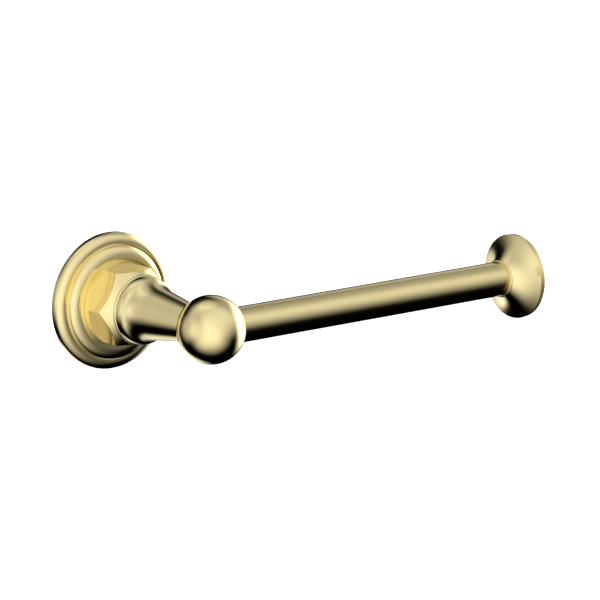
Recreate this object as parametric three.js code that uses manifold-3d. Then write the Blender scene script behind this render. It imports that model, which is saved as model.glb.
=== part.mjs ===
// A wall-mounted toilet paper holder in satin-polished brass. A stepped rosette hides a bracket,
// a hexagon collar grips the bracket with a set screw, a turned post carries a ball, and an open
// bar with a flared end holds the roll. Millimetres, +Z up. The wall is the plane y = 0, the post
// runs along -Y on the line x = z = 0, and the bar runs along +X. "Reach" means distance from the
// wall along the post, so a point at reach t has y = -t.
import * as THREE from 'three';
import { mergeVertices } from 'three/addons/utils/BufferGeometryUtils.js';
import Module from 'manifold-3d';

const wasm = await Module();
wasm.setup();

// Driving dimensions
const barReach = 76.2; // wall to the bar's centre line, three inches
const barRadius = 8; // 16 mm tube
const ballRadius = 15.3;
const rosetteRadius = 31.25;
const hexCorner = 19.1; // hexagon, centre to corner
const flangeRadius = 16; // the post's rounded rim
const capRadius = 19.6; // the flared end's rim
const gap = 0.3; // clearance between pieces that touch
const smooth = 36; // sides of the large turned pieces
const coarse = 18; // sides of studs, screws and bores

// Places along the post (reach) and along the bar (x)
const plateThick = 3;
const hubEnd = 18.6;
const setScrewReach = 15;
const crownReach = 8.5; // the rosette's flat crown, which the collar sits on
const shoulderReach = 11.6; // where the collar changes from round to hexagon
const hexFront = 19; // reach of the hexagon's front corners
const collarFront = 23.8;
const flangeBack = 25;
const postEnd = 66;
const barEnd = 166.2;
const beadEnd = 167.7;
const capBack = 168;
const capRim = 175.2;
const capFace = 178.1;

// Fixings
const m8 = { stud: 3.95, bore: 4.3, nutFlats: 13, nutHigh: 3.8 };
const m6 = { stud: 2.95, bore: 3.25 };
const m5 = { stud: 2.35, bore: 2.65, keyFlats: 2.5, keyDeep: 2.4 };
const wallScrew = { spacing: 17, shank: 2, head: 4, headHigh: 2.2, long: 20 };

// Geometry helpers ------------------------------------------------------------------------------

// A point at a reach from the wall and a radius from the post's axis
const at = (reach, radius) => new THREE.Vector2(radius, -reach);

// Points on an arc in a (reach, radius) section, from angle a to angle b in degrees
function arc(reach, radius, alongReach, alongRadius, a, b, steps) {
  const points = [];
  for (let i = 0; i <= steps; i++) {
    const angle = THREE.MathUtils.degToRad(a + ((b - a) * i) / steps);
    points.push(at(reach + alongReach * Math.cos(angle), radius + alongRadius * Math.sin(angle)));
  }
  return points;
}

// Points on a curve from start to end in a section that leaves each end towards pull
const bend = (start, pull, end, steps) =>
  new THREE.QuadraticBezierCurve(start, pull, end).getPoints(steps);

// Twice the area a section encloses, counted positive when it runs anticlockwise
function signedArea(points) {
  let sum = 0;
  points.forEach((p, i) => {
    const q = points[(i + 1) % points.length];
    sum += p.x * q.y - q.x * p.y;
  });
  return sum;
}

// A piece turned about the post's axis. An open section ends on the axis; a ring closes on itself.
function turned(points, sides = smooth) {
  const section = signedArea(points) > 0 ? [...points] : [...points].reverse();
  const onAxis = section.filter((p) => p.x === 0).length;
  if (onAxis === 0) {
    section.push(section[0].clone());
  } else {
    while (section[0].x !== 0 || section[section.length - 1].x !== 0) {
      section.push(section.shift());
    }
  }
  return welded(new THREE.LatheGeometry(section, sides));
}

// The same surface with shared corners merged and empty triangles dropped
function welded(geometry) {
  geometry.deleteAttribute('normal');
  geometry.deleteAttribute('uv');
  const merged = mergeVertices(geometry, 1e-4);
  const index = merged.getIndex().array;
  const kept = [];
  for (let i = 0; i < index.length; i += 3) {
    const [a, b, c] = [index[i], index[i + 1], index[i + 2]];
    if (a !== b && b !== c && c !== a) {
      kept.push(a, b, c);
    }
  }
  merged.setIndex(kept);
  return merged;
}

// Turns a shape made about the post's axis so that it lies on the bar's axis, reach becoming x
function ontoBar(geometry) {
  return geometry.rotateZ(Math.PI / 2).translate(0, -barReach, 0);
}

// Turns a shape made about the post's axis so that it points down, reach becoming depth below
// the axis, at a given reach from the wall
function pointingDown(geometry, reach) {
  return geometry.rotateX(Math.PI / 2).translate(0, -reach, 0);
}

// A plain rod about the post's axis
const rod = (from, to, radius, sides = coarse) =>
  turned([at(from, 0), at(from, radius), at(to, radius), at(to, 0)], sides);

// A ring about the post's axis
const ring = (from, to, inner, outer, sides = smooth) =>
  turned([at(from, inner), at(from, outer), at(to, outer), at(to, inner)], sides);

// A hexagonal prism about the post's axis, with flats at its top and bottom
function hexPrism(from, to, corner) {
  const shape = new THREE.Shape();
  for (let i = 0; i < 6; i++) {
    const angle = (i * Math.PI) / 3;
    shape.lineTo(corner * Math.cos(angle), corner * Math.sin(angle));
  }
  const prism = new THREE.ExtrudeGeometry(shape, { depth: to - from, bevelEnabled: false });
  return welded(prism.rotateX(Math.PI / 2).translate(0, -from, 0));
}

const ballAt = (radius, sides = smooth) =>
  welded(new THREE.SphereGeometry(radius, sides, sides / 2)).translate(0, -barReach, 0);

function solid(geometry) {
  const mesh = new wasm.Mesh({
    numProp: 3,
    vertProperties: new Float32Array(geometry.getAttribute('position').array),
    triVerts: new Uint32Array(geometry.getIndex().array),
  });
  return new wasm.Manifold(mesh);
}

// The first geometry with each of the others cut away
function cut(base, ...tools) {
  let body = solid(base);
  for (const tool of tools) {
    body = body.subtract(solid(tool));
  }
  const mesh = body.getMesh();
  const geometry = new THREE.BufferGeometry();
  geometry.setAttribute('position', new THREE.BufferAttribute(mesh.vertProperties, 3));
  geometry.setIndex(new THREE.BufferAttribute(mesh.triVerts, 1));
  return geometry;
}

// Finishes ---------------------------------------------------------------------------------------

const finish = (color, roughness, metalness) => ({ color, roughness, metalness });
const polishedBrass = finish(0xe6d296, 0.22, 1);
const rawBrass = finish(0xb99a55, 0.4, 1);
const castZinc = finish(0x9a9b9c, 0.5, 1);
const stainless = finish(0xb4b6b8, 0.35, 1);
const blackSteel = finish(0x2a2a2c, 0.5, 0.8);
const whiteNylon = finish(0xe8e6de, 0.55, 0);
const greyNylon = finish(0x8d9094, 0.6, 0);

const holder = new THREE.Group();

function add(name, geometry, look) {
  const mesh = new THREE.Mesh(geometry, new THREE.MeshStandardMaterial(look));
  mesh.name = name;
  holder.add(mesh);
  return mesh;
}

// Wall fixing --------------------------------------------------------------------------------------

// Cast disc with a cup-shaped hub. A V-groove round the hub takes the set screw's point.
function wallBracket() {
  const hubRadius = 12;
  const cupRadius = 8.6;
  const plateRadius = 24;
  const grooveDeep = 0.9;
  const grooveHalf = 1.6;
  const blank = turned([
    at(0, 0),
    at(0, plateRadius - 0.5),
    at(0.5, plateRadius),
    at(plateThick, plateRadius),
    at(plateThick, hubRadius),
    at(setScrewReach - grooveHalf, hubRadius),
    at(setScrewReach - 0.6, hubRadius - grooveDeep),
    at(setScrewReach + 0.6, hubRadius - grooveDeep),
    at(setScrewReach + grooveHalf, hubRadius),
    at(hubEnd - 0.6, hubRadius),
    at(hubEnd, hubRadius - 0.6),
    at(hubEnd, cupRadius),
    at(plateThick, cupRadius),
    at(plateThick, 0),
  ]);
  const holes = [-1, 1].map((side) => {
    const { shank, head, headHigh, spacing } = wallScrew;
    const countersink = turned(
      [
        at(-1, 0),
        at(-1, shank + 0.4),
        at(plateThick - headHigh - gap, shank + 0.4),
        at(plateThick - gap, head + gap),
        at(plateThick + 1, head + gap),
        at(plateThick + 1, 0),
      ],
      coarse,
    );
    return countersink.translate(0, 0, side * spacing);
  });
  return cut(blank, ...holes);
}

// Countersunk wood screw with a cross recess, driven through the bracket into its plug
function wallScrewBody(side) {
  const { shank, head, headHigh, spacing, long } = wallScrew;
  const headTop = plateThick - gap;
  const body = turned(
    [
      at(headTop, 0),
      at(headTop, head),
      at(headTop - headHigh, shank),
      at(headTop - long + 5, shank),
      at(headTop - long, 0),
    ],
    coarse,
  );
  const slotDeep = 1.2;
  const slots = [
    [3.6, 0.9],
    [0.9, 3.6],
  ].map(([wide, high]) => {
    const slot = new THREE.BoxGeometry(wide, 2 * slotDeep, high);
    return welded(slot).translate(0, -headTop, 0);
  });
  return cut(body, ...slots).translate(0, 0, side * spacing);
}

// Plug pushed just below the wall's face, with a collar, ribs and a split nose left plain
function wallPlug(side) {
  const sleeve = turned(
    [
      at(-2.5, wallScrew.shank + gap),
      at(-2.5, 3.4),
      at(-4, 3.1),
      at(-16, 3.1),
      at(-18, 2.7),
      at(-18, wallScrew.shank + gap),
    ],
    coarse,
  );
  return sleeve.translate(0, 0, side * wallScrew.spacing);
}

// Rosette, collar and post ---------------------------------------------------------------------

// Forged cover with a rounded outer step, then a taller rounded step that ends in a flat crown
function rosette() {
  const stepRadius = 25.85;
  const stepReach = 6;
  const crownRadius = 20.64;
  const hubHole = 12.6;
  const under = plateThick + 0.7;
  const crownUnder = 5.4;
  return turned([
    at(0, rosetteRadius - 1.9),
    at(0, rosetteRadius),
    at(1.9, rosetteRadius),
    ...arc(1.9, 27.2, 3.2, rosetteRadius - 27.2, 75, 0, 5),
    at(5.1, 26.5),
    at(5, stepRadius),
    ...arc(stepReach, crownRadius, crownReach - stepReach, stepRadius - crownRadius, 90, 0, 7),
    at(crownReach, hubHole),
    at(crownUnder, hubHole),
    at(crownUnder, 22.5),
    at(under, 24.5),
    at(under, 26.5),
    at(1.2, rosetteRadius - 1.9),
  ]);
}

// Round boss with a hexagon above it, chamfered at the front, bored to sit over the bracket's hub
function hexCollar() {
  const bossRadius = 19.4;
  const boreRadius = 12.35;
  const frontWall = 20.3;
  const seat = crownReach + gap;
  const blank = turned([
    at(seat, boreRadius),
    at(seat, bossRadius),
    at(shoulderReach, bossRadius),
    at(hexFront, bossRadius),
    at(hexFront, hexCorner),
    at(collarFront, 13.6),
    at(collarFront, m8.bore),
    at(frontWall, m8.bore),
    at(frontWall, boreRadius),
  ]);
  const outside = ring(shoulderReach, collarFront + 2, hexCorner - 4, bossRadius + 5);
  const spare = cut(outside, hexPrism(shoulderReach - 1, collarFront + 3, hexCorner));
  const tappedHole = pointingDown(rod(10, bossRadius + 2, m5.bore), setScrewReach);
  return cut(blank, spare, tappedHole);
}

// Socket set screw in the collar's lower flat, its point in the bracket's groove
function setScrew() {
  const point = 11.5;
  const end = 16.3;
  const body = turned(
    [at(point, 0), at(point, 0.5), at(point + 2, m5.stud), at(end, m5.stud), at(end, 0)],
    coarse,
  );
  const key = hexPrism(end - m5.keyDeep, end + 1, m5.keyFlats / Math.sqrt(3));
  return pointingDown(cut(body, key), setScrewReach);
}

// Turned post: rounded rim, a round shoulder that sweeps in, then a tapered neck cupped to the ball
function post() {
  const neckTip = 7.5;
  const blank = turned([
    at(flangeBack, m8.bore),
    at(flangeBack, 13.8),
    at(flangeBack, 15.2),
    ...arc(flangeBack + 0.95, flangeRadius - 0.95, 0.95, 0.95, 160, 30, 4),
    ...bend(at(27, 15.5), at(29.6, 15.45), at(31, 14.3), 4),
    ...bend(at(31, 14.3), at(33.3, 12.4), at(40, 11.4), 6).slice(1),
    at(postEnd, neckTip),
    at(postEnd, m8.bore),
  ]);
  return cut(blank, ballAt(ballRadius + gap));
}

// Ball at the corner, drilled for the post's stud and for the bar's stud
function ball() {
  const postBore = rod(barReach - ballRadius - 2, barReach - 5.2, m8.bore);
  const barBore = ontoBar(rod(5, ballRadius + 2, m6.bore));
  return cut(ballAt(ballRadius), postBore, barBore);
}

// Hexagon nut on the long stud, inside the bracket's cup
function studNut() {
  const from = 14.9;
  const to = from + m8.nutHigh;
  const blank = hexPrism(from, to, m8.nutFlats / Math.sqrt(3));
  return cut(blank, rod(from - 1, to + 1, m8.bore));
}

// Split spring washer: a ring with a slanted gap
function springWasher() {
  const whole = ring(19, 20, m8.bore, 6.8, coarse);
  const saw = new THREE.BoxGeometry(0.8, 6, 8).rotateZ(0.5).translate(0, -19.5, 6);
  return cut(whole, welded(saw));
}

add('wall_bracket', wallBracket(), castZinc);
add('wall_screw_lower', wallScrewBody(-1), stainless);
add('wall_screw_upper', wallScrewBody(1), stainless);
add('wall_plug_lower', wallPlug(-1), greyNylon);
add('wall_plug_upper', wallPlug(1), greyNylon);
add('rosette', rosette(), polishedBrass);
add('hex_collar', hexCollar(), polishedBrass);
add('set_screw', setScrew(), blackSteel);
add('collar_washer', ring(collarFront + gap, flangeBack - gap, m8.bore + gap, 13.1), whiteNylon);
add('post', post(), polishedBrass);
add('post_stud', rod(14.2, 70.6, m8.stud), stainless);
add('stud_nut', studNut(), stainless);
add('spring_washer', springWasher(), stainless);
add('ball', ball(), polishedBrass);

// Bar and flared end -----------------------------------------------------------------------------

const tubeBore = barRadius - 1.2;
const plugRadius = tubeBore - gap;

// Along the bar, "reach" helpers measure x, because the shapes are then turned onto the bar
const alongBar = (x, radius) => new THREE.Vector2(radius, -x);

function barTube() {
  const tube = ontoBar(
    turned([
      alongBar(8, tubeBore),
      alongBar(8, barRadius),
      alongBar(barEnd, barRadius),
      alongBar(barEnd, tubeBore),
    ]),
  );
  return cut(tube, ballAt(ballRadius + gap));
}

// Flared end: a concave trumpet from the bead to the rim, a narrow side wall and a shallow dome
function endCap() {
  const flareStart = 8.4;
  const domeTop = 180.8;
  return ontoBar(
    turned([
      alongBar(capBack, m6.bore),
      alongBar(capBack, flareStart),
      alongBar(170, 10.4),
      alongBar(172, 13.1),
      alongBar(173.7, 16.1),
      alongBar(capRim, capRadius),
      alongBar(capFace - 0.4, capRadius - 0.26),
      alongBar(capFace, capRadius - 0.7),
      alongBar(179.3, 14),
      alongBar(180.3, 7.5),
      alongBar(domeTop, 0),
      alongBar(175, 0),
      alongBar(175, m6.bore),
    ]),
  );
}

add('bar_stud', ontoBar(rod(5.4, 26, m6.stud)), stainless);
add('bar_insert', ontoBar(ring(15, 27, m6.bore, plugRadius, coarse)), rawBrass);
add('bar', barTube(), polishedBrass);
add('end_insert', ontoBar(ring(152, barEnd - gap, m6.bore, plugRadius, coarse)), rawBrass);
add('end_stud', ontoBar(rod(154, 174.6, m6.stud)), stainless);
add(
  'bar_bead',
  ontoBar(
    turned([
      alongBar(barEnd + gap, m6.bore),
      alongBar(barEnd + gap, 8.2),
      ...arc((barEnd + gap + beadEnd) / 2, 8.25, 0.6, 0.55, 150, 30, 4),
      alongBar(beadEnd, 8.2),
      alongBar(beadEnd, m6.bore),
    ]),
  ),
  polishedBrass,
);
add('end_cap', endCap(), polishedBrass);

export default holder;
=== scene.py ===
"""A wall-mounted toilet paper holder in satin-polished brass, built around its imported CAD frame.

Metres, +Z up. The wall is the plane y = 0, the post runs along -Y on the line x = z = 0, and the
bar runs along +X. "Reach" is the distance from the wall along the post. A turned piece is given
by its section: corners of (millimetres along its axis, radius in millimetres, rounding).
"""
import math

import bmesh
import bpy
from mathutils import Euler, Matrix, Vector


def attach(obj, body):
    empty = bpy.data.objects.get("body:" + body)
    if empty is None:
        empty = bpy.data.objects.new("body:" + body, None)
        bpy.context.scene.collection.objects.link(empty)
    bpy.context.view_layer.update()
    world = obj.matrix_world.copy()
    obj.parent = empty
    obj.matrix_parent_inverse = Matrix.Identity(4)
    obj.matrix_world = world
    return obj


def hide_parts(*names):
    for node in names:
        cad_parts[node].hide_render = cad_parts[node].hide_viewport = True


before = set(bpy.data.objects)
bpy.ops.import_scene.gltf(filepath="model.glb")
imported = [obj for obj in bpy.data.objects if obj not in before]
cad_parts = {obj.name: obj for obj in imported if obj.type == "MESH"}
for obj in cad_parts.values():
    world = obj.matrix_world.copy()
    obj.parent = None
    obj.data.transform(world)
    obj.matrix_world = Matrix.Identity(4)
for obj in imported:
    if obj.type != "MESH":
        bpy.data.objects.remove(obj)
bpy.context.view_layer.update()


# Camera -------------------------------------------------------------------------------------------
# A long lens well back from the holder: in front of the wall, to the left of the post and a
# little above it, so that the flared end and the ball are both seen from their near side.

def direction(azimuth, elevation):
    """Unit vector towards an azimuth, 0 in front of the wall and 90 to the right, in degrees."""
    a, e = math.radians(azimuth), math.radians(elevation)
    return Vector((math.sin(a) * math.cos(e), -math.cos(a) * math.cos(e), math.sin(e)))


look_at = Vector((0.0673, -0.0538, -0.0001))
stand_off = 1.7466
lens_length = 232.98
camera_azimuth = -38.62
camera_elevation = 12.63
towards_camera = direction(camera_azimuth, camera_elevation)

camera = bpy.data.objects.new("camera", bpy.data.cameras.new("camera"))
camera.data.lens = lens_length
camera.data.sensor_width = 36
camera.data.clip_start = 0.05
camera.data.clip_end = 60
camera.location = look_at + towards_camera * stand_off
camera.rotation_euler = towards_camera.to_track_quat("Z", "Y").to_euler()
bpy.context.scene.collection.objects.link(camera)
bpy.context.scene.camera = camera
bpy.context.scene.view_settings.view_transform = "Standard"


# Studio light -------------------------------------------------------------------------------------
# A product tent: one broad soft panel behind the camera, a small strong one at the open end of the
# bar, and dimmer cloth above, at the sides and low behind. The rest of the tent is unlit.

def linear(hex_colour, alpha=1.0):
    """An sRGB hex colour as linear RGBA."""
    channels = [int(hex_colour[i:i + 2], 16) / 255 for i in (1, 3, 5)]
    return [c / 12.92 if c <= 0.04045 else ((c + 0.055) / 1.055) ** 2.4
            for c in channels] + [alpha]


def add_node(tree, kind, settings=None, inputs=None):
    """Adds a node with its settings, and gives each input a constant or a link."""
    node = tree.nodes.new(kind)
    for name, value in (settings or {}).items():
        setattr(node, name, value)
    for name, value in (inputs or {}).items():
        if isinstance(value, bpy.types.NodeSocket):
            tree.links.new(value, node.inputs[name])
        else:
            node.inputs[name].default_value = value
    return node


# (azimuth, elevation, full to this angle, none past this angle, strength)
soft_panels = [
    (-38.6, -5.3, 12, 82, 1.16),  # broad front panel
    (-80, 70, 5, 68, 0.74),  # roof, left
    (172, 72, 12, 28, 0.25),  # roof, back
    (92.6, -0.5, 8, 45, 3.3),  # strong panel at the bar's open end
    (-95, 2, 0, 36, 0.3),  # left side, front edge
    (-120, 8, 12, 46, 0.58),  # left side
    (-150, 50, 6, 28, 0.26),  # left side, high behind
    (-80, -38, 0, 34, 0.2),  # left side, low
    (40, 36, 0, 64, 0.85),  # right side, high
    (128, 24, 6, 22, 0.5),  # right side, behind
    (112, 44, 0, 26, 0.3),  # right side, high behind
    (168, -18, 16, 28, 0.85),  # back, below the holder
    (166, -42, 6, 20, 0.8),  # back, near the floor
]

world = bpy.data.worlds.new("product_tent")
world.use_nodes = True
bpy.context.scene.world = world
tent = world.node_tree
tent.nodes.clear()
facing = add_node(tent, "ShaderNodeTexCoord").outputs["Generated"]
glow = 0.0
for azimuth, elevation, full, none, strength in soft_panels:
    cosine = add_node(tent, "ShaderNodeVectorMath", {"operation": "DOT_PRODUCT"},
                      {0: facing, 1: direction(azimuth, elevation)})
    angle = add_node(tent, "ShaderNodeMath", {"operation": "ARCCOSINE"},
                     {0: cosine.outputs["Value"]})
    panel = add_node(tent, "ShaderNodeMapRange", {"interpolation_type": "SMOOTHSTEP"},
                     {"Value": angle.outputs[0], "From Min": math.radians(full),
                      "From Max": math.radians(none), "To Min": strength, "To Max": 0.0})
    glow = add_node(tent, "ShaderNodeMath", {"operation": "ADD"},
                    {0: glow, 1: panel.outputs[0]}).outputs[0]
white = (1, 1, 1, 1)
white_seen = 1.05
seen = add_node(tent, "ShaderNodeBackground", None, {"Color": white, "Strength": white_seen})
lighting = add_node(tent, "ShaderNodeBackground", None, {"Color": white, "Strength": glow})
ray = add_node(tent, "ShaderNodeLightPath").outputs["Is Camera Ray"]
mixed = add_node(tent, "ShaderNodeMixShader", None,
                 {"Fac": ray, 1: lighting.outputs[0], 2: seen.outputs[0]})
add_node(tent, "ShaderNodeOutputWorld", None, {"Surface": mixed.outputs[0]})

overhead = bpy.data.objects.new("overhead_light", bpy.data.lights.new("overhead_light", "SUN"))
overhead.data.energy = 3.2
overhead.data.angle = math.radians(30)
overhead.visible_glossy = False
bpy.context.scene.collection.objects.link(overhead)


# Floor --------------------------------------------------------------------------------------------
# A plain pale floor, 660 mm below the holder: a wide sheet of matt painted paper. It is kept out
# of the brass's reflections, which are the tent's.

def shaded_material(name):
    """A new node material, and its tree and shader, ready for the finish."""
    material = bpy.data.materials.new(name)
    material.use_nodes = True
    tree = material.node_tree
    tree.nodes.clear()
    shader = add_node(tree, "ShaderNodeBsdfPrincipled")
    add_node(tree, "ShaderNodeOutputMaterial", None, {"Surface": shader.outputs[0]})
    return material, tree, shader


def new_piece(name, vertices, faces, material):
    """A mesh piece at the origin, its vertices in millimetres."""
    mesh = bpy.data.meshes.new(name)
    mesh.from_pydata([[c * 0.001 for c in v] for v in vertices], [], faces)
    mesh.materials.append(material)
    piece = bpy.data.objects.new(name, mesh)
    bpy.context.scene.collection.objects.link(piece)
    return piece


# Paper with a matt painted face: white, with faint broad mottling
mottle_size = 40
paper, tree, shader = shaded_material("pale_paper_sweep")
shader.inputs["Roughness"].default_value = 0.9
mottle = add_node(tree, "ShaderNodeTexNoise", None, {
    "Vector": add_node(tree, "ShaderNodeTexCoord").outputs["Object"],
    "Scale": 1000 / mottle_size})
tint = add_node(tree, "ShaderNodeMix", {"data_type": "RGBA"},
                {"Factor": mottle.outputs["Fac"], "A": linear("#F6F6F5"), "B": linear("#FAFAF9")})
tree.links.new(tint.outputs["Result"], shader.inputs["Base Color"])

floor_height = -660
floor_half = 9000
floor = new_piece("floor", [(x * floor_half, y * floor_half, floor_height)
                            for x, y in ((-1, -1), (1, -1), (1, 1), (-1, 1))],
                  [(0, 1, 2, 3)], paper)
floor.visible_glossy = False


# Wall bracket -------------------------------------------------------------------------------------
# The hidden fixing: a pressure die-cast zinc disc with a cup-shaped hub. A V-groove round the
# hub takes the point of the collar's set screw. Two countersunk holes take the wall screws.

def rounded(corners, steps=6, support=0.04):
    """A section's points, each corner rounded by an arc with a support point on either side."""
    points = []
    last = len(corners) - 1
    for i, (along, radius, rounding) in enumerate(corners):
        here = Vector((along, radius))
        if rounding == 0 or i in (0, last):
            points.append(here)
            continue
        before = Vector(corners[i - 1][:2]) - here
        after = Vector(corners[i + 1][:2]) - here
        half = before.angle(after) / 2
        cut_back = min(rounding / math.tan(half), 0.42 * before.length, 0.42 * after.length)
        true_radius = cut_back * math.tan(half)
        before.normalize()
        after.normalize()
        centre = here + (before + after).normalized() * (true_radius / math.sin(half))
        start = here + before * cut_back - centre
        sweep = start.angle_signed(here + after * cut_back - centre)
        extra = min(support, cut_back * 0.15)
        points.append(here + before * (cut_back + extra))
        for step in range(steps + 1):
            points.append(centre + Matrix.Rotation(-sweep * step / steps, 2) @ start)
        points.append(here + after * (cut_back + extra))
    return points


def socket(tree, name, kind, direction_in="INPUT"):
    """Adds a named socket to a Geometry Nodes tree."""
    return tree.interface.new_socket(name=name, in_out=direction_in, socket_type=kind)


def end_tree(tree, geometry, sources):
    """Smooths, places and finishes a tree's geometry, and joins it to the output."""
    smooth = add_node(tree, "GeometryNodeSetShadeSmooth", None, {"Geometry": geometry})
    placed = add_node(tree, "GeometryNodeTransform", None, {
        "Geometry": smooth.outputs[0], "Translation": sources["Origin"],
        "Rotation": sources["Turn"]})
    real = add_node(tree, "GeometryNodeRealizeInstances", None,
                    {"Geometry": placed.outputs[0]})
    finished = add_node(tree, "GeometryNodeSetMaterial", None,
                        {"Geometry": real.outputs[0], "Material": sources["Finish"]})
    add_node(tree, "NodeGroupOutput", None, {"Geometry": finished.outputs[0]})


def turning_tree():
    """Turns the section held by its mesh round the X axis, then places it on the piece's axis."""
    tree = bpy.data.node_groups.new("turned_on_a_lathe", "GeometryNodeTree")
    socket(tree, "Geometry", "NodeSocketGeometry")
    socket(tree, "Sides", "NodeSocketInt")
    socket(tree, "Origin", "NodeSocketVector")
    socket(tree, "Turn", "NodeSocketRotation")
    socket(tree, "Finish", "NodeSocketMaterial")
    socket(tree, "Geometry", "NodeSocketGeometry", "OUTPUT")
    given = add_node(tree, "NodeGroupInput").outputs
    count = add_node(tree, "GeometryNodeAttributeDomainSize", None,
                     {"Geometry": given["Geometry"]}).outputs["Point Count"]
    columns = add_node(tree, "ShaderNodeMath", {"operation": "ADD"}, {0: given["Sides"], 1: 1.0})
    grid = add_node(tree, "GeometryNodeMeshGrid", None,
                    {"Vertices X": columns.outputs[0], "Vertices Y": count})
    index = add_node(tree, "GeometryNodeInputIndex").outputs[0]
    found = {"index": index, "count": count, "sides": given["Sides"]}
    for name, operation, *values in (("in section", "MODULO", "index", "count"),
                                     ("share", "DIVIDE", "index", "count"),
                                     ("column", "FLOOR", "share"),
                                     ("turn", "DIVIDE", "column", "sides"),
                                     ("angle", "MULTIPLY", "turn", math.tau),
                                     ("cosine", "COSINE", "angle"),
                                     ("sine", "SINE", "angle")):
        found[name] = add_node(tree, "ShaderNodeMath", {"operation": operation}, {
            i: found.get(value, value) for i, value in enumerate(values)}).outputs[0]
    point = add_node(tree, "GeometryNodeSampleIndex", {"data_type": "FLOAT_VECTOR"},
                     {"Geometry": given["Geometry"], "Index": found["in section"],
                      "Value": add_node(tree, "GeometryNodeInputPosition").outputs[0]})
    part = add_node(tree, "ShaderNodeSeparateXYZ", None, {0: point.outputs[0]}).outputs
    across = add_node(tree, "ShaderNodeMath", {"operation": "MULTIPLY"},
                      {0: part["Y"], 1: found["cosine"]})
    upward = add_node(tree, "ShaderNodeMath", {"operation": "MULTIPLY"},
                      {0: part["Y"], 1: found["sine"]})
    place = add_node(tree, "ShaderNodeCombineXYZ", None,
                     {"X": part["X"], "Y": across.outputs[0], "Z": upward.outputs[0]})
    shaped = add_node(tree, "GeometryNodeSetPosition", None,
                      {"Geometry": grid.outputs["Mesh"], "Position": place.outputs[0]})
    closed = add_node(tree, "GeometryNodeMergeByDistance", None,
                      {"Geometry": shaped.outputs[0], "Distance": 1e-6})
    end_tree(tree, closed.outputs[0], given)
    return tree


def tidy_surface(piece, sharp=35):
    """Turns a piece's faces outwards and keeps edges past an angle sharp."""
    mesh = piece.data
    shape = bmesh.new()
    shape.from_mesh(mesh)
    bmesh.ops.remove_doubles(shape, verts=shape.verts, dist=1e-6)
    bmesh.ops.dissolve_degenerate(shape, edges=shape.edges, dist=1e-6)
    bmesh.ops.recalc_face_normals(shape, faces=shape.faces)
    if shape.calc_volume(signed=True) < 0:
        bmesh.ops.reverse_faces(shape, faces=shape.faces)
    for face in shape.faces:
        face.smooth = True
    for edge in shape.edges:
        edge.smooth = len(edge.link_faces) == 2 and edge.calc_face_angle() < math.radians(sharp)
    shape.to_mesh(mesh)
    shape.free()


def run_tree(name, tree, mesh, values):
    """Runs a tree on a mesh with named inputs, and keeps the result as a plain piece."""
    piece = bpy.data.objects.new(name, mesh)
    bpy.context.scene.collection.objects.link(piece)
    modifier = piece.modifiers.new("shape", "NODES")
    modifier.node_group = tree
    for item in tree.interface.items_tree:
        if item.in_out == "INPUT" and item.name in values:
            modifier[item.identifier] = values[item.name]
    graph = bpy.context.evaluated_depsgraph_get()
    result = bpy.data.meshes.new_from_object(piece.evaluated_get(graph))
    piece.modifiers.remove(modifier)
    piece.data = result
    tidy_surface(piece)
    return piece


# Where a piece's own axis lies: the place of its zero, and the turn from X
bar_reach = 0.0762
on_post = {"Origin": (0, 0, 0), "Turn": Euler((0, 0, -math.pi / 2))}
on_bar = {"Origin": (0, -bar_reach, 0), "Turn": Euler((0, 0, 0))}
lathe = turning_tree()


def turned(name, section, finish, axis=on_post, sides=144):
    """A piece turned from its section. A ring's section ends where it starts."""
    mesh = bpy.data.meshes.new(name)
    mesh.from_pydata([(p[0] * 0.001, p[1] * 0.001, 0) for p in section], [], [])
    return run_tree(name, lathe, mesh, {"Sides": sides, "Finish": finish, **axis})


def cut_with(piece, *tools):
    """Cuts tools away from a piece, and removes the tools."""
    for tool in tools:
        modifier = piece.modifiers.new("cut", "BOOLEAN")
        modifier.operation = "DIFFERENCE"
        modifier.solver = "EXACT"
        modifier.object = tool
        graph = bpy.context.evaluated_depsgraph_get()
        result = bpy.data.meshes.new_from_object(piece.evaluated_get(graph))
        piece.modifiers.remove(modifier)
        piece.data = result
        bpy.data.objects.remove(tool)
    tidy_surface(piece)
    return piece


# Die-cast zinc, tumbled and passivated: a grey metal with a fine grain and cloudy patches
cloud_size = 6.25
zinc_grain = 0.625
zinc, tree, shader = shaded_material("die_cast_zinc_tumbled")
shader.inputs["Metallic"].default_value = 1.0
place = add_node(tree, "ShaderNodeTexCoord").outputs["Object"]
clouds = add_node(tree, "ShaderNodeTexNoise", None, {"Vector": place, "Scale": 1000 / cloud_size})
grain = add_node(tree, "ShaderNodeTexNoise", None,
                 {"Vector": place, "Scale": 1000 / zinc_grain, "Detail": 4.0})
tone = add_node(tree, "ShaderNodeMix", {"data_type": "RGBA"},
                {"Factor": clouds.outputs["Fac"], "A": linear("#8F9193"), "B": linear("#B2B3B2")})
rough = add_node(tree, "ShaderNodeMapRange", None,
                 {"Value": grain.outputs["Fac"], "To Min": 0.38, "To Max": 0.62})
bump = add_node(tree, "ShaderNodeBump", None,
                {"Height": grain.outputs["Fac"], "Strength": 0.5, "Distance": 0.00008})
tree.links.new(tone.outputs["Result"], shader.inputs["Base Color"])
tree.links.new(rough.outputs[0], shader.inputs["Roughness"])
tree.links.new(bump.outputs[0], shader.inputs["Normal"])

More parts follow.
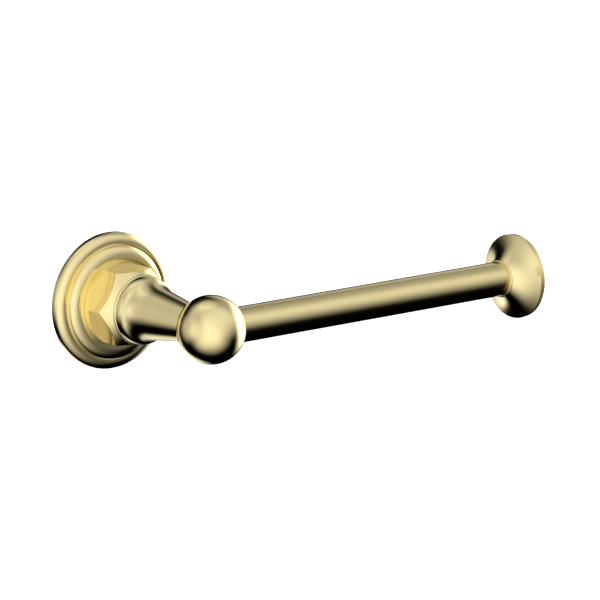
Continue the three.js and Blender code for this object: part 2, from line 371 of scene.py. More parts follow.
plate_thick = 3.0
plate_radius = 24
hub_radius = 12
hub_end = 18.6
cup_radius = 8.6
groove_radius = 11.1
groove_half = 1.6
groove_floor_half = 0.6
screw_spacing = 17.0
set_screw_reach = 15.0
head_reach = 2.7
bracket = turned("bracket_casting", rounded([
    (0, 0, 0), (0, plate_radius, 0.5), (plate_thick, plate_radius, 0.6),
    (plate_thick, hub_radius, 0.8), (set_screw_reach - groove_half, hub_radius, 0.2),
    (set_screw_reach - groove_floor_half, groove_radius, 0.2),
    (set_screw_reach + groove_floor_half, groove_radius, 0.2),
    (set_screw_reach + groove_half, hub_radius, 0.2), (hub_end, hub_radius, 0.6),
    (hub_end, cup_radius, 0.3), (plate_thick, cup_radius, 0.8), (plate_thick, 0, 0)]), zinc)
shank_hole = 2.4
head_hole = 4.3
countersink = [(-1, 0), (-1, shank_hole), (0.5, shank_hole), (head_reach, head_hole),
               (plate_thick + 2, head_hole), (plate_thick + 2, 0)]
holes = [turned("hole", countersink, zinc, {"Origin": (0, 0, side * screw_spacing / 1000),
                                            "Turn": on_post["Turn"]}, 48)
         for side in (-1, 1)]
cut_with(bracket, *holes)
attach(bracket, "holder")
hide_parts("wall_bracket")


# Wall screws --------------------------------------------------------------------------------------
# Two countersunk wood screws with a cross recess, cold-formed in stainless steel with a rolled
# thread. They pass through the bracket into the plugs.

def thread_tree():
    """A threaded rod along X, with a chamfer, point or countersunk head at its ends."""
    tree = bpy.data.node_groups.new("rolled_thread", "GeometryNodeTree")
    for name in ("Length", "Major", "Minor", "Pitch", "Start Radius", "End Radius",
                 "End Slope", "Head Radius", "Head Slope", "Shank Length"):
        socket(tree, name, "NodeSocketFloat")
    socket(tree, "Rows", "NodeSocketInt")
    socket(tree, "Sides", "NodeSocketInt")
    socket(tree, "Origin", "NodeSocketVector")
    socket(tree, "Turn", "NodeSocketRotation")
    socket(tree, "Finish", "NodeSocketMaterial")
    socket(tree, "Geometry", "NodeSocketGeometry", "OUTPUT")
    given = add_node(tree, "NodeGroupInput").outputs

    found = {item.name: item for item in given}
    found["index"] = add_node(tree, "GeometryNodeInputIndex").outputs[0]
    for name, operation, *values in (
            # which row and column of the grid a point is in, and how far that is along and round
            ("columns", "ADD", "Sides", 1.0),
            ("row", "MODULO", "index", "Rows"),
            ("grid share", "DIVIDE", "index", "Rows"),
            ("column", "FLOOR", "grid share"),
            ("turn", "DIVIDE", "column", "Sides"),
            ("angle", "MULTIPLY", "turn", math.tau),
            ("cosine", "COSINE", "angle"),
            ("sine", "SINE", "angle"),
            ("last row", "SUBTRACT", "Rows", 1.0),
            ("rows within", "SUBTRACT", "Rows", 3.0),
            ("rows past start", "SUBTRACT", "row", 1.0),
            ("free share", "DIVIDE", "rows past start", "rows within"),
            ("low share", "MAXIMUM", "free share", 0.0),
            ("share", "MINIMUM", "low share", 1.0),
            ("along", "MULTIPLY", "share", "Length"),
            ("to end", "SUBTRACT", "Length", "along"),
            # the thread's wave, from root to crest and back in each pitch
            ("pitches", "DIVIDE", "along", "Pitch"),
            ("phase", "SUBTRACT", "pitches", "turn"),
            ("half wave", "PINGPONG", "phase", 0.5),
            ("wave", "MULTIPLY", "half wave", 2.0),
            ("depth", "SUBTRACT", "Major", "Minor"),
            ("thread", "MULTIPLY_ADD", "wave", "depth", "Minor"),
            # the plain shank, then the chamfer, point and head
            ("on shank", "LESS_THAN", "along", "Shank Length"),
            ("shank", "MULTIPLY", "on shank", "Major"),
            ("body", "MAXIMUM", "thread", "shank"),
            ("start limit", "ADD", "Start Radius", "along"),
            ("started", "MINIMUM", "body", "start limit"),
            ("end limit", "MULTIPLY_ADD", "to end", "End Slope", "End Radius"),
            ("ended", "MINIMUM", "started", "end limit"),
            ("head fall", "MULTIPLY", "along", "Head Slope"),
            ("head", "SUBTRACT", "Head Radius", "head fall"),
            ("outside", "MAXIMUM", "ended", "head"),
            # the first and last rows close the ends on the axis
            ("past first", "GREATER_THAN", "row", 0.5),
            ("near last", "SUBTRACT", "last row", 0.5),
            ("before last", "LESS_THAN", "row", "near last"),
            ("open", "MULTIPLY", "past first", "before last"),
            ("radius", "MULTIPLY", "outside", "open"),
            ("across", "MULTIPLY", "radius", "cosine"),
            ("upward", "MULTIPLY", "radius", "sine")):
        found[name] = add_node(tree, "ShaderNodeMath", {"operation": operation}, {
            i: found.get(value, value) for i, value in enumerate(values)}).outputs[0]
    grid = add_node(tree, "GeometryNodeMeshGrid", None,
                    {"Vertices X": found["columns"], "Vertices Y": given["Rows"]})
    place = add_node(tree, "ShaderNodeCombineXYZ", None,
                     {"X": found["along"], "Y": found["across"], "Z": found["upward"]})
    shaped = add_node(tree, "GeometryNodeSetPosition", None,
                      {"Geometry": grid.outputs["Mesh"], "Position": place.outputs[0]})
    closed = add_node(tree, "GeometryNodeMergeByDistance", None,
                      {"Geometry": shaped.outputs[0], "Distance": 1e-6})
    end_tree(tree, closed.outputs[0], given)
    return tree


rolling = thread_tree()


def threaded(name, sizes, finish, origin, turn, sides=36):
    """A threaded piece. Sizes are millimetres, apart from the slopes."""
    steps_per_turn = 8
    end_rows = 3
    rows = int(sizes["Length"] / sizes["Pitch"] * steps_per_turn) + end_rows
    values = {key: value if "Slope" in key else value / 1000 for key, value in sizes.items()}
    mesh = bpy.data.meshes.new(name)
    return run_tree(name, rolling, mesh, {**values, "Rows": rows, "Sides": sides,
                                          "Origin": origin, "Turn": turn, "Finish": finish})


def block(name, size, centre, turn, finish):
    """A closed box used as a cutting tool, millimetres."""
    corners = [Vector((x * size[0], y * size[1], z * size[2])) / 2
               for x in (-1, 1) for y in (-1, 1) for z in (-1, 1)]
    faces = [(0, 1, 3, 2), (4, 6, 7, 5), (0, 4, 5, 1), (2, 3, 7, 6), (0, 2, 6, 4), (1, 5, 7, 3)]
    turned_corners = [Vector(centre) + turn.to_matrix() @ corner for corner in corners]
    piece = new_piece(name, turned_corners, faces, finish)
    tidy_surface(piece)
    return piece


# Stainless steel, cold-formed and bright-dipped: clean grey metal with a faint drawn grain
drawn_grain = 1.11
stainless, tree, shader = shaded_material("stainless_steel_bright_dipped")
shader.inputs["Metallic"].default_value = 1.0
place = add_node(tree, "ShaderNodeTexCoord").outputs["Object"]
grain = add_node(tree, "ShaderNodeTexNoise", None,
                 {"Vector": place, "Scale": 1000 / drawn_grain, "Detail": 3.0})
tone = add_node(tree, "ShaderNodeMix", {"data_type": "RGBA"},
                {"Factor": grain.outputs["Fac"], "A": linear("#B9BABB"), "B": linear("#CFCFCD")})
rough = add_node(tree, "ShaderNodeMapRange", None,
                 {"Value": grain.outputs["Fac"], "To Min": 0.22, "To Max": 0.36})
bump = add_node(tree, "ShaderNodeBump", None,
                {"Height": grain.outputs["Fac"], "Strength": 0.3, "Distance": 0.00002})
tree.links.new(tone.outputs["Result"], shader.inputs["Base Color"])
tree.links.new(rough.outputs[0], shader.inputs["Roughness"])
tree.links.new(bump.outputs[0], shader.inputs["Normal"])

recess = (3.6, 2.4, 0.9)
wood_screw = {"Length": 20, "Major": 2.0, "Minor": 1.45, "Pitch": 1.8, "Start Radius": 4.0,
              "End Radius": 0.15, "End Slope": 0.42, "Head Radius": 4.0, "Head Slope": 0.909,
              "Shank Length": 7.0}
for side, label in ((-1, "lower"), (1, "upper")):
    centre = Vector((0, -head_reach, side * screw_spacing))
    screw = threaded("wall_screw_" + label + "_steel", wood_screw, stainless, centre / 1000,
                     Euler((0, 0, math.pi / 2)))
    slots = [block("slot", recess, centre, Euler((0, turn, 0)), stainless)
             for turn in (math.pi / 4, -math.pi / 4)]
    cut_with(screw, *slots)
    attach(screw, "holder")
    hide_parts("wall_screw_" + label)


# Wall plugs ---------------------------------------------------------------------------------------
# Two expanding plugs, injection-moulded in grey nylon, with barbs round the body and a slit that
# lets the sides spread. They sit just below the face of the wall.

# Grey nylon, injection-moulded: an even satin plastic with a slight sink mottling
sink_size = 2.5
nylon_ior = 1.53
grey_nylon, tree, shader = shaded_material("grey_nylon_moulded")
place = add_node(tree, "ShaderNodeTexCoord").outputs["Object"]
mottle = add_node(tree, "ShaderNodeTexNoise", None,
                  {"Vector": place, "Scale": 1000 / sink_size})
tone = add_node(tree, "ShaderNodeMix", {"data_type": "RGBA"},
                {"Factor": mottle.outputs["Fac"], "A": linear("#84888B"), "B": linear("#93979A")})
bump = add_node(tree, "ShaderNodeBump", None,
                {"Height": mottle.outputs["Fac"], "Strength": 0.3, "Distance": 0.00005})
shader.inputs["Roughness"].default_value = 0.5
shader.inputs["IOR"].default_value = nylon_ior
tree.links.new(tone.outputs["Result"], shader.inputs["Base Color"])
tree.links.new(bump.outputs[0], shader.inputs["Normal"])

plug_mouth = 2.5
plug_tip = 18
plug_bore = 2.3
lip_radius = 3.4
first_barb = 5.0
barb_pitch = 2.2
barb_count = 5
barb_radius = 3.15
barb_root = 2.8
plug_section = [(plug_mouth, plug_bore, 0), (plug_mouth, lip_radius, 0.15),
                (plug_mouth + 1.1, lip_radius, 0.15), (plug_mouth + 1.7, 2.85, 0.1)]
for barb in range(barb_count):
    start = first_barb + barb * barb_pitch
    plug_section += [(start, barb_radius, 0.08), (start + barb_pitch * 0.8, barb_root, 0.08)]
plug_section += [(plug_tip - 1.5, 2.9, 0.2), (plug_tip, 2.7, 0.2), (plug_tip, plug_bore, 0.1),
                 (plug_mouth, plug_bore, 0)]
slit_size = (8, 10, 0.7)
slit_depth = 12
for side, label in ((-1, "lower"), (1, "upper")):
    plug = turned("wall_plug_" + label + "_nylon", rounded(plug_section, 3), grey_nylon,
                  {"Origin": (0, 0, side * screw_spacing / 1000),
                   "Turn": Euler((0, 0, math.pi / 2))}, 48)
    slit = block("slit", slit_size, (0, slit_depth, side * screw_spacing), Euler(), grey_nylon)
    cut_with(plug, slit)
    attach(plug, "holder")
    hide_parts("wall_plug_" + label)


# Rosette ------------------------------------------------------------------------------------------
# The round cover against the wall: forged brass, turned to a rounded outer step and a taller
# rounded step inside it, then polished. The collar sits on its flat crown and holds it.

def oval(along, radius, half_along, half_radius, start, end, steps):
    """Corners along an oval arc in a section, between two angles in degrees."""
    corners = []
    for step in range(steps + 1):
        angle = math.radians(start + (end - start) * step / steps)
        corners.append((along + half_along * math.cos(angle),
                        radius + half_radius * math.sin(angle), 0))
    return corners


def polished_brass(name, origin, turn):
    """Brass polished on the lathe. Origin and turn carry Object coordinates to the piece's axis,
    so that the polishing lines run round it."""
    # Satin-polished brass under a thin clear lacquer. The finishing lines are some 0.05 mm
    # apart; they are drawn at 0.3 mm, faintly, so that they still show. A slow unevenness from
    # the polishing wheel bends the reflections a little.
    line_size = 0.303
    line_drift = 0.0004
    wheel_size = 9.09
    material, tree, shader = shaded_material(name)
    place = add_node(tree, "ShaderNodeMapping", None, {
        "Vector": add_node(tree, "ShaderNodeTexCoord").outputs["Object"],
        "Location": origin, "Rotation": turn})
    part = add_node(tree, "ShaderNodeSeparateXYZ", None, {0: place.outputs[0]}).outputs
    across = add_node(tree, "ShaderNodeCombineXYZ", None, {"Y": part["Y"], "Z": part["Z"]})
    radius = add_node(tree, "ShaderNodeVectorMath", {"operation": "LENGTH"},
                      {0: across.outputs[0]}).outputs["Value"]
    height = add_node(tree, "ShaderNodeMath", {"operation": "DIVIDE"},
                      {0: part["Z"], 1: radius}).outputs[0]
    drift = add_node(tree, "ShaderNodeMath", {"operation": "MULTIPLY"},
                     {0: height, 1: line_drift}).outputs[0]
    round_it = add_node(tree, "ShaderNodeCombineXYZ", None,
                        {"X": part["X"], "Y": radius, "Z": drift})
    lines = add_node(tree, "ShaderNodeTexNoise", None, {
        "Vector": round_it.outputs[0], "Scale": 1000 / line_size, "Detail": 2.0})
    wheel = add_node(tree, "ShaderNodeTexNoise", None, {
        "Vector": place.outputs[0], "Scale": 1000 / wheel_size, "Detail": 1.0})
    tone = add_node(tree, "ShaderNodeMix", {"data_type": "RGBA"}, {
        "Factor": wheel.outputs["Fac"], "A": linear("#F4E2A6"), "B": linear("#F8E8B0")})
    rough = add_node(tree, "ShaderNodeMapRange", None,
                     {"Value": lines.outputs["Fac"], "To Min": 0.11, "To Max": 0.18})
    slow = add_node(tree, "ShaderNodeBump", None, {
        "Height": wheel.outputs["Fac"], "Strength": 0.2, "Distance": 0.00003})
    fine = add_node(tree, "ShaderNodeBump", None, {
        "Height": lines.outputs["Fac"], "Strength": 0.1, "Distance": 0.000004,
        "Normal": slow.outputs[0]})
    shader.inputs["Metallic"].default_value = 1.0
    tree.links.new(tone.outputs["Result"], shader.inputs["Base Color"])
    tree.links.new(rough.outputs[0], shader.inputs["Roughness"])
    tree.links.new(fine.outputs[0], shader.inputs["Normal"])
    return material


post_brass = polished_brass("satin_polished_brass_post", (0, 0, 0), (0, 0, math.pi / 2))

rosette_radius = 31.25
rim_width = 1.9
outer_step = (1.9, 27.2)
outer_step_high = 3.2
crown_reach = 8.5
crown_radius = 20.64
inner_step_foot = 6.0
step_radius = 25.85
hub_hole = 12.6
under_crown = 5.4
under_step = 3.7
rosette = turned("rosette_turning", rounded(
    [(0, rosette_radius - rim_width, 0), (0, rosette_radius, 0.25)]
    + oval(*outer_step, outer_step_high, rosette_radius - outer_step[1], 90, 4, 20)
    + [(5.1, 26.5, 0.08), (5.0, step_radius, 0.12)]
    + oval(inner_step_foot, crown_radius, crown_reach - inner_step_foot,
           step_radius - crown_radius, 90, 0, 28)
    + [(crown_reach, hub_hole, 0.3), (under_crown, hub_hole, 0.2), (under_crown, 22.5, 0.4),
       (under_step, 24.5, 0.4), (under_step, 26.5, 0.4), (1.2, rosette_radius - rim_width, 0.2),
       (0, rosette_radius - rim_width, 0)]), post_brass, sides=240)
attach(rosette, "holder")
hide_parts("rosette")


# Hexagon collar -----------------------------------------------------------------------------------
# The grip that holds the holder on its bracket: a round boss with a hexagon milled above it,
# corners chamfered at the front on a lathe. The lower flat is tapped for the set screw.

def hexagon_edge(corner_radius, edge_rounding):
    """A rounded edge: how far its flats lie in, its centre's distance, and half its angle."""
    inner = corner_radius * math.cos(math.pi / 6) - edge_rounding
    middle = inner / math.cos(math.pi / 6)
    end = math.atan2(edge_rounding * 0.5, middle + edge_rounding * math.cos(math.pi / 6))
    return inner, middle, end


def hexagon_angles(corner_radius, edge_rounding, flat_steps=14, edge_steps=6):
    """Angles round a hexagon with rounded edges, closer together at the edges."""
    end = hexagon_edge(corner_radius, edge_rounding)[2]
    guard = end * 1.25
    angles = []
    for corner in range(6):
        centre = corner * math.pi / 3
        angles += [centre - end + 2 * end * i / edge_steps for i in range(edge_steps + 1)]
        first, last = centre + guard, centre + math.pi / 3 - guard
        angles += [first + (last - first) * i / flat_steps for i in range(flat_steps + 1)]
    return angles


def hexagon_radius(angle, corner_radius, edge_rounding):
    """Distance from the axis to a hexagon with rounded edges, its first corner at angle 0."""
    inner, middle, end = hexagon_edge(corner_radius, edge_rounding)
    off_corner = (angle + math.pi / 6) % (math.pi / 3) - math.pi / 6
    if abs(off_corner) < end:
        inside = edge_rounding ** 2 - (middle * math.sin(off_corner)) ** 2
        return middle * math.cos(off_corner) + math.sqrt(inside)
    return (inner + edge_rounding) / math.cos(math.pi / 6 - abs(off_corner))


def skinned(name, sections, finish, closed_round=True):
    """A piece on the post's axis from sections at angles, each a closed loop of points."""
    vertices, faces = [], []
    for angle, section in sections:
        vertices += [(r * math.cos(angle), -along, r * math.sin(angle)) for along, r in section]
    rows = len(sections[0][1])
    count = len(sections)
    for i in range(count if closed_round else count - 1):
        here, there = i * rows, (i + 1) % count * rows
        faces += [(here + j, here + (j + 1) % rows, there + (j + 1) % rows, there + j)
                  for j in range(rows)]
    if not closed_round:
        faces += [tuple(range(rows)), tuple(range(len(vertices) - rows, len(vertices)))]
    piece = new_piece(name, vertices, faces, finish)
    tidy_surface(piece)
    return piece


collar_seat = 8.52
boss_radius = 19.4
shoulder_reach = 11.6
hex_corner = 19.1
hex_front = 19.0
collar_front = 23.8
collar_front_radius = 13.6
collar_bore = 12.35
collar_floor = 20.3
front_bore = 4.3
hex_edge = 0.4
mid_seat = 15


def collar_section(angle):
    """The collar's section at an angle. The chamfer is a cone, so it climbs towards each flat."""
    flat = hexagon_radius(angle, hex_corner, hex_edge)
    slope = (collar_front - hex_front) / (hex_corner - collar_front_radius)
    chamfer = hex_front + (hex_corner - flat) * slope
    return rounded([
        (collar_seat, mid_seat, 0), (collar_seat, boss_radius, 0.3),
        (shoulder_reach, boss_radius, 0.05), (shoulder_reach, flat, 0.15), (chamfer, flat, 0.3),
        (collar_front, collar_front_radius, 0.4), (collar_front, front_bore, 0.3),
        (collar_floor, front_bore, 0.2), (collar_floor, collar_bore, 0.3),
        (collar_seat, collar_bore, 0.3), (collar_seat, mid_seat, 0)])[:-1]


collar = skinned("hex_collar_milling", [(angle, collar_section(angle))
                                        for angle in hexagon_angles(hex_corner, hex_edge)],
                 post_brass)
pointing_down = Euler((0, math.pi / 2, 0))
tapped_radius = 2.65
tapped_mouth = 3.5
tapped_hole = turned(
    "tapped_hole", [(10, 0), (10, tapped_radius), (15.9, tapped_radius), (16.9, tapped_mouth),
                    (20, tapped_mouth), (20, 0)],
    post_brass, {"Origin": (0, -set_screw_reach / 1000, 0), "Turn": pointing_down}, 64)
cut_with(collar, tapped_hole)
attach(collar, "holder")
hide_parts("hex_collar")


# Set screw ----------------------------------------------------------------------------------------
# An M5 socket set screw with a cone point, blackened alloy steel, in the collar's lower flat. Its
# point bites in the bracket's groove.

# Black-oxide steel: dark, slightly oily metal, with the oxide worn thin in patches
wear_size = 0.909
black_steel, tree, shader = shaded_material("alloy_steel_black_oxide")
shader.inputs["Metallic"].default_value = 0.85
place = add_node(tree, "ShaderNodeTexCoord").outputs["Object"]
wear = add_node(tree, "ShaderNodeTexNoise", None,
                {"Vector": place, "Scale": 1000 / wear_size, "Detail": 4.0})
tone = add_node(tree, "ShaderNodeMix", {"data_type": "RGBA"},
                {"Factor": wear.outputs["Fac"], "A": linear("#1D1D1F"), "B": linear("#3A3A3D")})
rough = add_node(tree, "ShaderNodeMapRange", None,
                 {"Value": wear.outputs["Fac"], "To Min": 0.3, "To Max": 0.5})
tree.links.new(tone.outputs["Result"], shader.inputs["Base Color"])
tree.links.new(rough.outputs[0], shader.inputs["Roughness"])

screw_start = 11.5
screw_length = 4.8
set_screw = threaded("set_screw_steel", {
    "Length": screw_length, "Major": 2.45, "Minor": 2.05, "Pitch": 0.8, "Start Radius": 0.4,
    "End Radius": 2.0, "End Slope": 1.0, "Head Radius": 0.0, "Head Slope": 0.0,
    "Shank Length": 0.0}, black_steel,
    (0, -set_screw_reach / 1000, -screw_start / 1000), pointing_down)
key_flats = 2.5
key_deep = 2.4
key_long = 4
key_corner = key_flats / math.sqrt(3)
key_top = -(screw_start + screw_length - key_deep)
key_points = [(key_corner * math.cos(k * math.pi / 3),
               key_corner * math.sin(k * math.pi / 3) - set_screw_reach, z)
              for z in (key_top, key_top - key_long) for k in range(6)]
key_sides = [(k, (k + 1) % 6, (k + 1) % 6 + 6, k + 6) for k in range(6)]
key = new_piece("key", key_points, [tuple(range(6)), tuple(range(6, 12))] + key_sides,
                black_steel)
tidy_surface(key)
cut_with(set_screw, key)
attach(set_screw, "set_screw")
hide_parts("set_screw")


# Collar washer ------------------------------------------------------------------------------------
# A thin white nylon washer between the collar and the post, stamped from sheet. It keeps the
# polished faces from marking each other.

# White nylon sheet, stamped: matt and even, with a fine calendered grain
sheet_grain = 1.43
white_nylon, tree, shader = shaded_material("white_nylon_stamped")
place = add_node(tree, "ShaderNodeTexCoord").outputs["Object"]
grain = add_node(tree, "ShaderNodeTexNoise", None,
                 {"Vector": place, "Scale": 1000 / sheet_grain})
tone = add_node(tree, "ShaderNodeMix", {"data_type": "RGBA"},
                {"Factor": grain.outputs["Fac"], "A": linear("#E4E2DA"), "B": linear("#EFEDE6")})
bump = add_node(tree, "ShaderNodeBump", None,
                {"Height": grain.outputs["Fac"], "Strength": 0.3, "Distance": 0.00003})
shader.inputs["Roughness"].default_value = 0.55
shader.inputs["IOR"].default_value = nylon_ior
tree.links.new(tone.outputs["Result"], shader.inputs["Base Color"])
tree.links.new(bump.outputs[0], shader.inputs["Normal"])

washer_back, washer_front = 24.1, 24.7
washer_bore, washer_radius = 4.6, 13.1
washer = turned("collar_washer_nylon", rounded([
    (washer_back, washer_bore, 0), (washer_back, washer_radius, 0.1),
    (washer_front, washer_radius, 0.1), (washer_front, washer_bore, 0.1),
    (washer_back, washer_bore, 0)], 3), white_nylon)
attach(washer, "holder")
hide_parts("collar_washer")


# Post ---------------------------------------------------------------------------------------------
# The turned brass arm: a fine rounded rim, a round shoulder that sweeps in, then a neck that
# tapers to the ball. It is bored for the long stud, and its end is cupped to fit the ball.

ball_radius = 15.3
ball_seat = ball_radius + 0.05
ball_reach = bar_reach * 1000
flange_reach = 25.0
flange_face = 13.8
flange_lip = 15.2
rim_centre = (25.95, 15.05)
rim_round = 0.95
shoulder_start = (27.0, 15.5)
shoulder_pull = (29.6, 15.45)
sweep_start = (31.0, 14.3)
sweep_pull = (33.3, 12.4)
neck_start = (40.0, 11.4)
neck_end = (66.0, 7.5)


def cupped_end(start, end, seat, centre):
    """Where a straight line in a section meets a ball, and the arc from there to the bore."""
    low, high = 0.0, 1.0
    for _ in range(40):
        share = (low + high) / 2
        along, radius = Vector(start).lerp(Vector(end), share)
        low, high = (share, high) if math.hypot(centre - along, radius) > seat else (low, share)
    edge_angle = math.asin(radius / seat)
    bore_angle = math.asin(front_bore / seat)
    steps = 8
    angles = [edge_angle + (bore_angle - edge_angle) * i / steps for i in range(steps + 1)]
    return [(centre - seat * math.cos(k), seat * math.sin(k), 0) for k in angles]


def bend(start, pull, end, steps):
    """Corners along a smooth curve from start to end that bends towards pull."""
    corners = []
    for i in range(steps + 1):
        share = i / steps
        weights = ((1 - share) ** 2, 2 * share * (1 - share), share ** 2)
        along, radius = (sum(w * point[k] for w, point in zip(weights, (start, pull, end)))
                         for k in (0, 1))
        corners.append((along, radius, 0))
    return corners


post_cup = cupped_end(neck_start, neck_end, ball_seat, ball_reach)
post = turned("post_turning", rounded(
    [(flange_reach, front_bore, 0), (flange_reach, flange_face, 0), (flange_reach, flange_lip, 0.2)]
    + oval(*rim_centre, rim_round, rim_round, 160, 30, 14)
    + bend(shoulder_start, shoulder_pull, sweep_start, 14)
    + bend(sweep_start, sweep_pull, neck_start, 20)[1:]
    + post_cup + [(flange_reach, front_bore, 0)], 10),
    post_brass, sides=192)
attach(post, "holder")
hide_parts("post")


# Stud, nut and spring washer ----------------------------------------------------------------------
# An M8 stud of threaded stainless rod draws the ball, post, collar and bracket together. A
# hexagon nut and a split spring washer hold it inside the bracket's cup.

stud_start = 14.2
stud = threaded("post_stud_steel", {
    "Length": 56.4, "Major": 3.95, "Minor": 3.3, "Pitch": 1.25, "Start Radius": 3.1,
    "End Radius": 3.1, "End Slope": 1.0, "Head Radius": 0.0, "Head Slope": 0.0,
    "Shank Length": 0.0}, stainless,
    (0, -stud_start / 1000, 0), on_post["Turn"])
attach(stud, "holder")
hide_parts("post_stud")

nut_back, nut_front = 14.9, 18.7
nut_flats = 13
nut_corner = nut_flats / math.sqrt(3)
nut_edge = 0.25
nut_face = nut_corner - 1.0
nut_bore = 4.3
lead_in = 0.5
mid_face = 5.5


def nut_section(angle):
    """The nut's section at an angle, with both faces chamfered at 30 degrees."""
    least = 0.02
    flat = hexagon_radius(angle, nut_corner, nut_edge)
    chamfer = max((flat - nut_face) * math.tan(math.pi / 6), least)
    face = min(flat - least, nut_face)
    return rounded([
        (nut_back, mid_face, 0), (nut_back, face, 0.1), (nut_back + chamfer, flat, 0.1),
        (nut_front - chamfer, flat, 0.1), (nut_front, face, 0.1),
        (nut_front, nut_bore + lead_in, 0.1), (nut_front - lead_in, nut_bore, 0.1),
        (nut_back + lead_in, nut_bore, 0.1), (nut_back, nut_bore + lead_in, 0.1),
        (nut_back, mid_face, 0)], 3)[:-1]


nut = skinned("stud_nut_steel", [
    (angle, nut_section(angle)) for angle in hexagon_angles(nut_corner, nut_edge, 6, 4)],
    stainless)
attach(nut, "holder")
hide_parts("stud_nut")

spring_back, spring_front = 19, 20
spring_radius = 6.8
spring_steps = 72
gap_angle = math.radians(8)
spring_section = rounded([
    (spring_back, mid_face, 0), (spring_back, spring_radius, 0.2),
    (spring_front, spring_radius, 0.2), (spring_front, nut_bore, 0.1),
    (spring_back, nut_bore, 0.1), (spring_back, mid_face, 0)], 3)[:-1]
spring_start = math.pi / 2 + gap_angle / 2
spring_sections = [(spring_start + (math.tau - gap_angle) * i / spring_steps, spring_section)
                   for i in range(spring_steps + 1)]
spring = skinned("spring_washer_steel", spring_sections, stainless, closed_round=False)
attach(spring, "holder")
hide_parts("spring_washer")


# Ball ---------------------------------------------------------------------------------------------
# The solid brass ball at the corner, turned and polished, drilled from the back for the post's
# stud and from the side for the bar's stud.

bar_brass = polished_brass("satin_polished_brass_bar", (0, bar_reach, 0), (0, 0, 0))
bar_bore = 3.25
bore_start, bore_end = 14.6, 5.2
ball_steps = 110
mouth = math.asin(bar_bore / ball_radius)
ball_angles = [(math.pi - mouth) * i / ball_steps for i in range(ball_steps + 1)]
ball_section = [(-ball_radius * math.cos(a), ball_radius * math.sin(a)) for a in ball_angles]
ball_section += [(bore_start, bar_bore), (bore_end, bar_bore), (bore_end, 0)]
ball = turned("ball_turning", ball_section, bar_brass, on_bar, 192)
hole_start = 55
hole_end = ball_reach - bore_end
post_hole = turned("post_hole", [(hole_start, 0), (hole_start, front_bore),
                                 (hole_end, front_bore), (hole_end, 0)],
                   bar_brass, on_post, 64)
cut_with(ball, post_hole)
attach(ball, "holder")
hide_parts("ball")


# Bar ----------------------------------------------------------------------------------------------
# A drawn brass tube, 16 mm across, that the roll slides on. Its inner end is cupped to the ball.
# A turned insert inside each end takes the studs.

# Raw brass, turned and left unpolished: duller and browner than the outside, with tool lines.
# A wave texture repeats every tau / 20 of its scaled coordinates.
tool_line_gap = 0.3927
stain_size = 5
raw_brass, tree, shader = shaded_material("raw_brass_turned")
shader.inputs["Metallic"].default_value = 1.0
place = add_node(tree, "ShaderNodeTexCoord").outputs["Object"]
tool_lines = add_node(tree, "ShaderNodeTexWave", {"bands_direction": "X"},
                      {"Vector": place, "Scale": 1000 * math.tau / 20 / tool_line_gap,
                       "Distortion": 0.4})
stain = add_node(tree, "ShaderNodeTexNoise", None,
                 {"Vector": place, "Scale": 1000 / stain_size})
tone = add_node(tree, "ShaderNodeMix", {"data_type": "RGBA"},
                {"Factor": stain.outputs["Fac"], "A": linear("#A98A45"), "B": linear("#C6A862")})
bump = add_node(tree, "ShaderNodeBump", None,
                {"Height": tool_lines.outputs["Fac"], "Strength": 0.4, "Distance": 0.00003})
shader.inputs["Roughness"].default_value = 0.38
tree.links.new(tone.outputs["Result"], shader.inputs["Base Color"])
tree.links.new(bump.outputs[0], shader.inputs["Normal"])

bar_radius = 8.0
tube_bore = 6.8
bar_end = 166.42
outer_start = math.sqrt(ball_seat ** 2 - bar_radius ** 2)
inner_start = math.sqrt(ball_seat ** 2 - tube_bore ** 2)
mid_bar = 90
bar = turned("bar_tube", rounded([
    (outer_start, bar_radius, 0), (mid_bar, bar_radius, 0), (bar_end, bar_radius, 0.15),
    (bar_end, tube_bore, 0.1), (inner_start, tube_bore, 0), (outer_start, bar_radius, 0)], 3),
    bar_brass, on_bar, 144)
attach(bar, "holder")
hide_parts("bar")

insert_radius = 6.5
for label, start, end in (("bar_insert", 15, 27), ("end_insert", 152, 165.9)):
    insert = turned(label + "_brass", rounded([
        (start, bar_bore, 0), (start, insert_radius, 0.5), (end, insert_radius, 0.5),
        (end, bar_bore, 0.3), (start, bar_bore, 0)], 4), raw_brass, on_bar, 96)
    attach(insert, "holder")
    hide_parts(label)

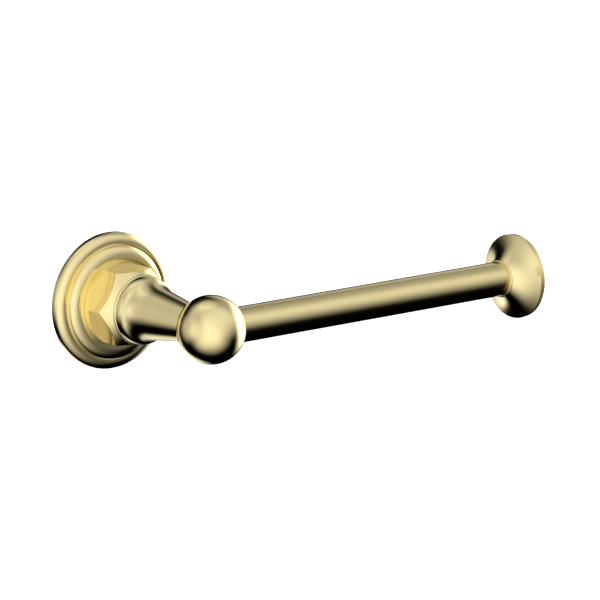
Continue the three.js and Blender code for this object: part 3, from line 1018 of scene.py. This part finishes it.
for label, start, length in (("bar_stud", 5.4, 20.6), ("end_stud", 154, 20.6)):
    small_stud = threaded(label + "_steel", {
        "Length": length, "Major": 2.95, "Minor": 2.4, "Pitch": 1.0, "Start Radius": 2.2,
        "End Radius": 2.2, "End Slope": 1.0, "Head Radius": 0.0, "Head Slope": 0.0,
        "Shank Length": 0.0}, stainless, (start / 1000, -bar_reach, 0), Euler((0, 0, 0)))
    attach(small_stud, "holder")
    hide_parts(label)


# Bead and flared end ------------------------------------------------------------------------------
# A turned brass bead closes the end of the tube. The flared end that keeps the roll on screws up
# against it: a concave trumpet, a crisp rim, a narrow side wall and a shallow domed face.

bead_back, bead_front = 166.5, 167.7
bead_foot = 8.2
bead_round = (0.6, 0.55)
bead = turned("bar_bead_turning", rounded(
    [(bead_back, bar_bore, 0), (bead_back, bead_foot, 0)]
    + oval((bead_back + bead_front) / 2, bead_foot + 0.05, *bead_round, 170, 10, 12)
    + [(bead_front, bead_foot, 0), (bead_front, bar_bore, 0), (bead_back, bar_bore, 0)]),
    bar_brass, on_bar)
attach(bead, "holder")
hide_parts("bar_bead")

cap_back = 167.78
cap_rim = 175.2
cap_face = 178.1
cap_radius = 19.6
face_radius = 19.3
flare_root = 8.4
flare_pull = (172.17, 11.9)
flare_tip = (cap_rim - 0.1, cap_radius - 0.25)
flare_steps = 24
stud_hole_end = 175
dome_rise = 2.7
dome_ball = (cap_radius ** 2 + dome_rise ** 2) / (2 * dome_rise)
dome_centre = cap_face + dome_rise - dome_ball
dome_edge = math.asin((cap_radius - 1.0) / dome_ball)
dome = [(dome_centre + dome_ball * math.cos(dome_edge * (1 - i / flare_steps)),
         dome_ball * math.sin(dome_edge * (1 - i / flare_steps)), 0)
        for i in range(flare_steps + 1)]
cap = turned("end_cap_turning", rounded(
    [(cap_back, bar_bore, 0), (cap_back, flare_root, 0)]
    + bend((cap_back, flare_root), flare_pull, flare_tip, flare_steps)[1:]
    + [(cap_rim, cap_radius, 0.15), (cap_face, face_radius, 0.4)] + dome
    + [(stud_hole_end, 0, 0), (stud_hole_end, bar_bore, 0), (cap_back, bar_bore, 0)]),
    bar_brass, on_bar, 240)
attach(cap, "holder")
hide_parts("end_cap")
